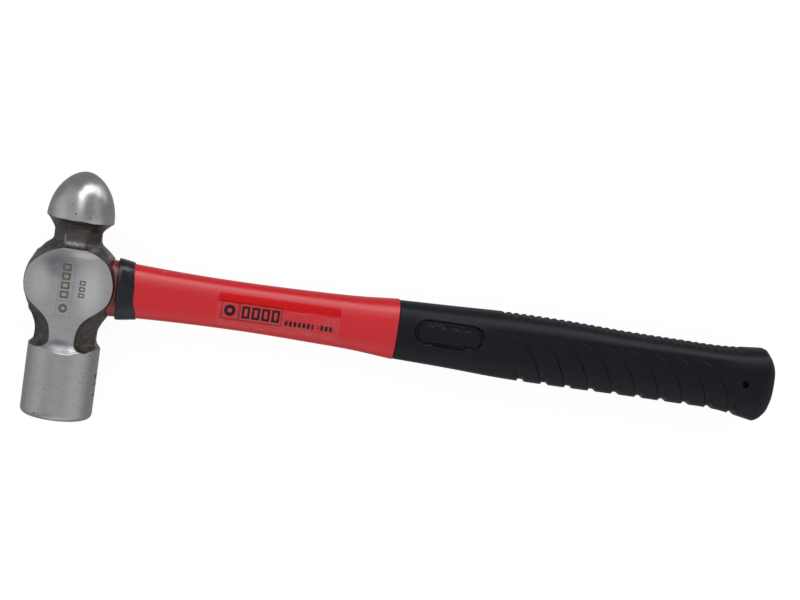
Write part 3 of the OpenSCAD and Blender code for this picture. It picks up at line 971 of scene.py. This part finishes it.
def handle_jacket():
    angles = full_turn(144)
    outer = jacket_rows(angles)
    bore = [capsule_ring(x, CORE_H, CORE_T, angles) for x in np.linspace(SOCKET, CORE_END, 30)]
    piece = make_piece("red_jacket", capped_tube(np.concatenate([outer[::-1], bore])), [red_plastic()])
    dress(piece, "handle_jacket")


def fiberglass_core():
    angles = full_turn(96)
    places = [(CORE_BACK, 0.5), (CORE_BACK + 0.15, 0.15), (CORE_BACK + 0.4, 0.0)]
    xs = places + [(x, 0.0) for x in np.linspace(CORE_BACK + 2, CORE_END - 2, 40)] + [(CORE_END, 0.2)]
    grid = np.array([capsule_ring(x, CORE_H - 2 * e, CORE_T - 2 * e, angles) for x, e in xs])
    piece = make_piece("glass_core", capped_tube(grid), [glass_fibre()])
    dress(piece, "fiberglass_core")


def head_skin_x(y, z):
    """Where the eye body's skin stands, behind the head, at a place beside the handle."""
    draft = CHEEK_R + (EYE_R - CHEEK_R) * (1 - np.clip(np.abs(z) / CHEEK, 0, 1) ** 1.8)
    return np.sqrt(np.maximum(draft**2 - y * y, 1)) - EYE_BACK


def eye_epoxy():
    """The epoxy: a plug in the eye, a film in the socket and an uneven bead behind it."""
    angles = full_turn(144)
    gap = 0.02
    mouth = JACKET[0][1:]
    plug_xs = np.append(EPOXY_BACK, np.linspace(EPOXY_BACK + 0.4, EYE_FLOOR, 24))
    plug = rings(EYE, plug_xs, angles, -gap)
    start = plug[0].copy()
    plug[0][:, 0] -= 0.5
    film = level_rings(mouth, [EYE_FLOOR + gap, 13.0], angles, BOND - gap)
    skin = level_rings(mouth, [16.0], angles)[0]
    meet = head_skin_x(skin[:, 1], skin[:, 2])
    uneven = ring_noise(angles, 2.4, 3.0)
    width = np.clip(0.8 + 1.2 * uneven + 0.7 * np.cos(angles) ** 8, 0.35, 1.8)
    bead = []
    for s, swell in ((-0.25, 0.3), (0.05, 0.4), (0.3, 0.42), (0.6, 0.3), (0.85, 0.16), (1.0, 0.05)):
        thick = swell * (0.7 + 0.5 * np.clip(uneven, -1, 1)) if s > 0 else BOND - 0.03
        bead.append(on_table(JACKET, meet + s * width, angles, thick))
    inner_jacket = rings(JACKET, [16.0, SOCKET], angles, 0.01)
    bore_xs = np.linspace(SOCKET, EPOXY_BACK, 12)
    bore = [capsule_ring(x, CORE_H + gap, CORE_T + gap, angles) for x in bore_xs]
    bore[-1][:, 0] -= 0.25
    dip = (start + bore[-1]) / 2
    dip[:, 0] = EPOXY_BACK + 0.35
    grid = np.concatenate([plug, film, np.array(bead), inner_jacket, np.array(bore), dip[None]])
    piece = make_piece("epoxy_bond", hoop(grid), [cured_epoxy()])
    dress(piece, "eye_epoxy")


def head_collar():
    """The rubber band: a little skewed, thicker next to the head, cut uneven at its tail."""
    angles = full_turn(168)
    y = 12 * np.cos(angles)
    uneven = ring_noise(angles, 3, 9.0)
    front = 18.75 - 0.045 * y + 0.08 * uneven
    tail = 26.0 - 0.095 * y + 0.8 * smoothstep(-4, -9, y) + 0.15 * uneven
    profile = [(0.0, 0.02), (0.0, 1.0), (0.01, 1.12), (0.03, 1.18), (0.07, COLLAR_T)]
    profile += [(s, COLLAR_T - (COLLAR_T - COLLAR_TAIL_T) * ((s - 0.14) / 0.76) ** 1.3)
                for s in np.linspace(0.22, 0.9, 14)]
    profile += [(0.96, 0.52), (0.99, 0.4), (1.0, 0.2), (1.0, 0.02)]
    grid = []
    for s, thick in profile:
        x = front + s * (tail - front)
        place = np.stack([x, 9 * np.cos(angles), 9 * np.sin(angles)], axis=-1)
        skin = thick + (0.1 * fractal(place, 3.2, 2, 5) if 0.5 < thick else 0.0)
        grid.append(on_table(JACKET, x, angles, skin))
    piece = make_piece("rubber_collar", hoop(np.array(grid)), [collar_rubber()], sharp_deg=45)
    dress(piece, "head_collar")


# Grip

def flute_left(y, z):
    """How far along X a flute's steep border has run, from its tip on the side."""
    t = np.clip((LEAF_TIP - y) / LEAF_DROP, 0, 1)
    under = smoothstep(11, 4, np.abs(z)) * (y < 0)
    return LEAF_RUN * np.sqrt(t * (1.25 - 0.25 * t)) + (FLUTE_RUN - LEAF_RUN) * under


def flute_depth(x, y, z):
    """Depth of the flutes, which are like shingles: each has a crisp step along its arc, and
    rises gently to the next. Under the grip they end as notches."""
    along = x - (NOTCH_LEFT - FLUTE_RUN) - flute_left(y, z) + CRISP
    number = np.floor(along / FLUTE_PITCH)
    past = along - number * FLUTE_PITCH - CRISP
    step = smoothstep(-CRISP, CRISP, past) * ((number >= 0) & (number < FLUTE_COUNT))
    under = smoothstep(-9, -13.5, y)
    rise = np.clip(1 - past / (FLUTE_PITCH - CRISP), 0, 1) ** 1.4
    side = FLUTE_DEPTH * step * rise * smoothstep(RIDGE, RIDGE - 5, y)
    side = side * np.where(number == 0, smoothstep(4, -7, y), 1)
    crease = CREASE * np.exp(-(((past - 0.3) / 0.35) ** 2)) * (step > 0) * (number > 0)
    side = side + crease * smoothstep(3, -6, y)
    notch = NOTCH_DEPTH * step * smoothstep(FLUTE_W + CRISP, FLUTE_W - CRISP, past)
    first, last = NOTCH_LEFT - FLUTE_RUN, NOTCH_LEFT + (FLUTE_COUNT - 1) * FLUTE_PITCH
    panel = smoothstep(first, first + 14, x) * smoothstep(last + 4, last - 14, x)
    recess = RIDGE_STEP * smoothstep(RIDGE + 0.5, RIDGE - 1.6, y) * panel
    return (side + recess) * (1 - under) + notch * under


def rib_top(x, top):
    """Height that the grooves between the ribs leave across the top, at x."""
    end = RIB_FIRST + (RIB_COUNT - 1) * RIB_PITCH
    phase = np.abs(((x - RIB_FIRST) / RIB_PITCH + 0.5) % 1 - 0.5) * 2
    within = (x > RIB_FIRST - RIB_PITCH) & (x < end + RIB_PITCH)
    return top - RIB_DEPTH * phase**1.9 * within


def capsule_distance(x, y, length, height):
    """Distance outside a flat capsule round (0, 0), negative inside it."""
    dx = np.maximum(np.abs(x) - (length - height) / 2, 0)
    return np.hypot(dx, y) - height / 2


def emblem_depth(x, y):
    """The panel's groove, with its plain inner pad and four plain raised pills."""
    d = capsule_distance(x - EMBLEM[0], y - EMBLEM[1], EMBLEM_L, EMBLEM_H)
    wall = 0.16
    groove = smoothstep(wall, -wall, d) * smoothstep(-EMBLEM_GROOVE - wall, -EMBLEM_GROOVE + wall, d)
    lip = 0.12 * np.exp(-(((d - 0.5) / 0.35) ** 2))
    depth = EMBLEM_DEPTH * groove - lip
    inside = smoothstep(-EMBLEM_GROOVE, -EMBLEM_GROOVE - 0.4, d)
    depth = depth + 0.22 * inside
    for n in range(4):
        pill = capsule_distance(y - EMBLEM[1], x - EMBLEM[0] - (n - 1.5) * 5.2, 5.4, 2.6)
        outline = smoothstep(0.5, 0.25, np.abs(pill + 0.4))
        depth = depth - 0.5 * outline * inside
    return depth


def grip_columns():
    """Places of the grid's columns along the top of the grip."""
    fine = RIB_FIRST + RIB_PITCH / 8 * np.arange(-32, 8 * RIB_COUNT)
    plain = np.linspace(SEAM + 0.7, fine[0], 96)[:-1]
    rest = np.linspace(fine[-1] + 0.5, 299.4, 18)
    return np.concatenate([[SEAM, SEAM + 0.12, SEAM + 0.35], plain, fine, rest])


def grip_skin(x, angles):
    """Points of the grip's smooth skin, the way out at each, and the section's top there."""
    top, bottom, half = sections(GRIP, x).T
    out_y = power(np.cos(angles), 2 - 2 / SQUARE) / ((top - bottom) / 2)
    out_z = power(np.sin(angles), 2 - 2 / SQUARE) / half
    normal = np.stack([0 * x, out_y, out_z], axis=-1) / np.hypot(out_y, out_z)[:, None]
    return squared(x, top, bottom, half, angles), normal, top


def sheared(xs, angles):
    """The grid of the grip's skin, with its columns leaning along the flutes' borders."""
    base = rings(GRIP, xs, angles)
    run = flute_left(base[..., 1], base[..., 2])
    last = NOTCH_LEFT + (FLUTE_COUNT - 1) * FLUTE_PITCH - FLUTE_RUN + 4.6
    ramp = np.where(xs < last, np.clip((xs - SEAM - 2) / (NOTCH_LEFT - FLUTE_RUN - SEAM - 2), 0, 1),
                    (299.5 - xs) / (299.5 - last))
    start = xs[:, None] + run * np.clip(ramp, 0, 1)[:, None]
    return np.minimum(start, 299.5)


def rubber_grip():
    angles = full_turn(208)
    xs = grip_columns()
    skin, normal, top = grip_skin(sheared(xs, angles).ravel(), np.tile(angles, len(xs)))
    x, y, z = skin.T
    depth = flute_depth(x, y, z) + emblem_depth(x, y) * (np.abs(z) > 4)
    edge = 0.35 * (1 - smoothstep(SEAM, SEAM + 0.4, x))
    skin = skin - normal * (depth + edge)[:, None]
    cut_y = rib_top(x, top)
    over = skin[:, 1] - cut_y
    skin[:, 1] = np.where(top - cut_y > 0.01, cut_y + soft_min(over, 0.0, 0.5), skin[:, 1])
    outer = skin.reshape(len(xs), len(angles), 3)
    before_end = np.array([6, 5.1, 4.2, 3.4, 2.7, 2.1, 1.6, 1.1, 0.7, 0.4, 0.2, 0.05])
    butt = rings(BUTT_END, BUTT_END[-1][0] - before_end, angles)
    last = butt[-1]
    centre = np.array([BUTT, last[:, 1].mean(), 0])
    domes = [centre + (last - centre) * [0, k, k] - [0.05 * k * k, 0, 0] for k in (0.8, 0.55, 0.3, 0.12)]
    inner = rings(GRIP, np.linspace(JACKET_END, SEAM, 30), angles, -RUBBER)
    grid = np.concatenate([np.array(domes)[::-1], butt[::-1], outer[::-1], inner[::-1]])
    piece = make_piece("black_grip", capped_tube(grid, centre), [grip_rubber()], sharp_deg=50)
    for side in (-1, 1):
        cut(piece, pin_cutter(side), 50)
    dress(piece, "rubber_grip")


def pin_cutter(side):
    angles = full_turn(32)
    x = PIN_HOLE[0] + PIN_HOLE_D / 2 * np.cos(angles)
    y = PIN_HOLE[1] + PIN_HOLE_D / 2 * np.sin(angles)
    grid = np.array([np.stack([x, y, 0 * x + side * z], axis=-1) for z in (8.0, 16.0)])
    return make_piece("pin_cutter", capped_tube(grid), [])


# Label

def jacket_height(x, y):
    """Height of the jacket's skin above the handle's middle plane, at x and y."""
    s = sections(JACKET, x)
    c = np.clip(np.abs(y - (s[:, 0] + s[:, 1]) / 2) / ((s[:, 0] - s[:, 1]) / 2), 0, 1)
    return s[:, 2] * (1 - c**SQUARE) ** (1 / SQUARE)


def handle_label():
    """The film: a thin closed sheet that follows the jacket, with round corners."""
    x0, x1 = LABEL_ENDS[0] + 0.1, LABEL_ENDS[1] - 0.1
    y0, y1, corner = -8.15, 5.5, 0.5
    nu, nv = 140, 44
    u, v = np.meshgrid(np.linspace(0, 1, nu), np.linspace(0, 1, nv), indexing="ij")
    x = x0 + (x1 - x0) * u
    short = np.maximum(corner - np.minimum(x - x0, x1 - x), 0)
    inset = corner - np.sqrt(np.maximum(corner**2 - short**2, 0))
    y = (y0 + inset) + (y1 - y0 - 2 * inset) * v
    flat_x, flat_y = x.ravel(), y.ravel()
    z = jacket_height(flat_x, flat_y)
    place = np.stack([flat_x, flat_y, z], axis=-1)
    low_edge = smoothstep(-5.5, -7.5, flat_y)
    blister = np.clip(fractal(place * [0.5, 1, 1], 1.6, 2, 11), 0, 1) * (0.15 + 0.85 * low_edge)
    top = place + blister[:, None] * [0, 0, 0.1] + [0, 0, 0.11]
    bottom = place + [0, 0, 0.015]
    count = nu * nv
    r, c = np.meshgrid(np.arange(nu - 1), np.arange(nv - 1), indexing="ij")
    a = (r * nv + c).ravel()
    upper = np.stack([a, a + nv, a + nv + 1, a + 1], axis=-1)
    rim = list(range(nv)) + [r * nv + nv - 1 for r in range(1, nu)]
    rim += [(nu - 1) * nv + n for n in range(nv - 2, -1, -1)] + [r * nv for r in range(nu - 2, 0, -1)]
    around = [(p, q, q + count, p + count) for p, q in zip(rim, rim[1:] + rim[:1])]
    faces = upper.tolist() + (upper[:, ::-1] + count).tolist() + around
    piece = make_piece("film_label", (np.vstack([top, bottom]), faces), [clear_film()])
    dress(piece, "handle_label")


# Stage

def paper(name, base, emission):
    material = bpy.data.materials.new(name)
    material.use_nodes = True
    shader = material.node_tree.nodes["Principled BSDF"]
    values = {"Base Color": (base, base, base, 1), "Roughness": 1.0, "Specular IOR Level": 0.0,
              "Emission Color": (1, 1, 1, 1), "Emission Strength": emission}
    for name, value in values.items():
        shader.inputs[name].default_value = value
    return material


def stage_piece(name, points, faces, material):
    """A piece of the studio that the camera sees, and that takes no light from the object."""
    mesh = bpy.data.meshes.new(name)
    mesh.from_pydata(points, [], faces)
    mesh.materials.append(material)
    obj = add_object(name, mesh)
    obj.visible_glossy = False
    obj.visible_diffuse = False
    obj.visible_shadow = False


def floor():
    size = 3.0
    corners = [(-size, -size, 0), (size, -size, 0), (size, size, 0), (-size, size, 0)]
    stage_piece("floor", corners, [(0, 1, 2, 3)], paper("floor_paper", 0.12, 0.94))


def backdrop():
    """A pale wall all round, so that no view looks past the floor's edge."""
    steps = 48
    radius, height = 2.9, 3.2
    around = [(radius * math.cos(a), radius * math.sin(a)) for a in full_turn(steps)]
    points = [(x, y, z) for z in (0.0, height) for x, y in around]
    faces = [(n, (n + 1) % steps, steps + (n + 1) % steps, steps + n) for n in range(steps)]
    faces.append(tuple(range(steps, 2 * steps)))
    stage_piece("backdrop", points, faces, paper("backdrop_paper", 0.1, 0.93))


def softbox(name, toward, distance, size, watts):
    """A rectangular soft light in that direction from the head, facing it."""
    data = bpy.data.lights.new(name, "AREA")
    data.shape = "RECTANGLE"
    data.size, data.size_y = size
    data.energy = watts
    obj = add_object(name, data)
    way = Vector(toward).normalized()
    obj.location = CROSS + way * distance
    obj.rotation_mode = "QUATERNION"
    obj.rotation_quaternion = way.to_track_quat("Z", "Y")
    obj.visible_camera = False


def lobe(tree, direction, toward, inner, outer, strength):
    """Soft round patch of light in the studio's surroundings: angles in degrees."""
    way = Vector(toward).normalized()
    dot = add_node(tree, "VectorMath", direction, way, operation="DOT_PRODUCT").outputs["Value"]
    low, high = math.cos(math.radians(outer)), math.cos(math.radians(inner))
    span = add_node(tree, "MapRange", dot, low, high, 0.0, strength, interpolation_type="SMOOTHSTEP")
    return span.outputs[0]


def surroundings():
    """The grey studio that the metal mirrors: even, with a few soft lighter patches."""
    world = bpy.data.worlds.new("studio")
    bpy.context.scene.world = world
    world.use_nodes = True
    tree = world.node_tree
    direction = add_node(tree, "TexCoord").outputs["Generated"]
    total = STUDIO_GREY
    for patch in STUDIO_PATCHES:
        light = lobe(tree, direction, *patch)
        total = add_node(tree, "Math", total, light, operation="ADD").outputs[0]
    background = tree.nodes["Background"]
    background.inputs["Color"].default_value = (0.98, 0.985, 1.0, 1)
    tree.links.new(total, background.inputs["Strength"])


def lights():
    softbox("strip", (-0.05, 0.57, 0.82), 1.0, (0.4, 0.9), 0.5)
    surroundings()


def camera():
    """The camera: above the hammer, leaning to the ball's side, and turned a little."""
    data = bpy.data.cameras.new("camera")
    data.lens = CAMERA_LENS
    data.sensor_width = FILM_WIDTH
    data.clip_start = 0.01
    obj = add_object("camera", data)
    place = CROSS + (Vector(CAMERA_LOOKS_AT) + Vector(CAMERA_BACK) * CAMERA_DISTANCE) * MM
    turn = Matrix((CAMERA_RIGHT, CAMERA_UP, CAMERA_BACK)).transposed().to_4x4()
    obj.matrix_world = Matrix.Translation(place) @ turn
    bpy.context.scene.camera = obj


camera()
floor()
backdrop()
lights()
bpy.context.scene.view_settings.view_transform = "Standard"
hammer_head()
fiberglass_core()
eye_epoxy()
handle_jacket()
head_collar()
rubber_grip()
handle_label()
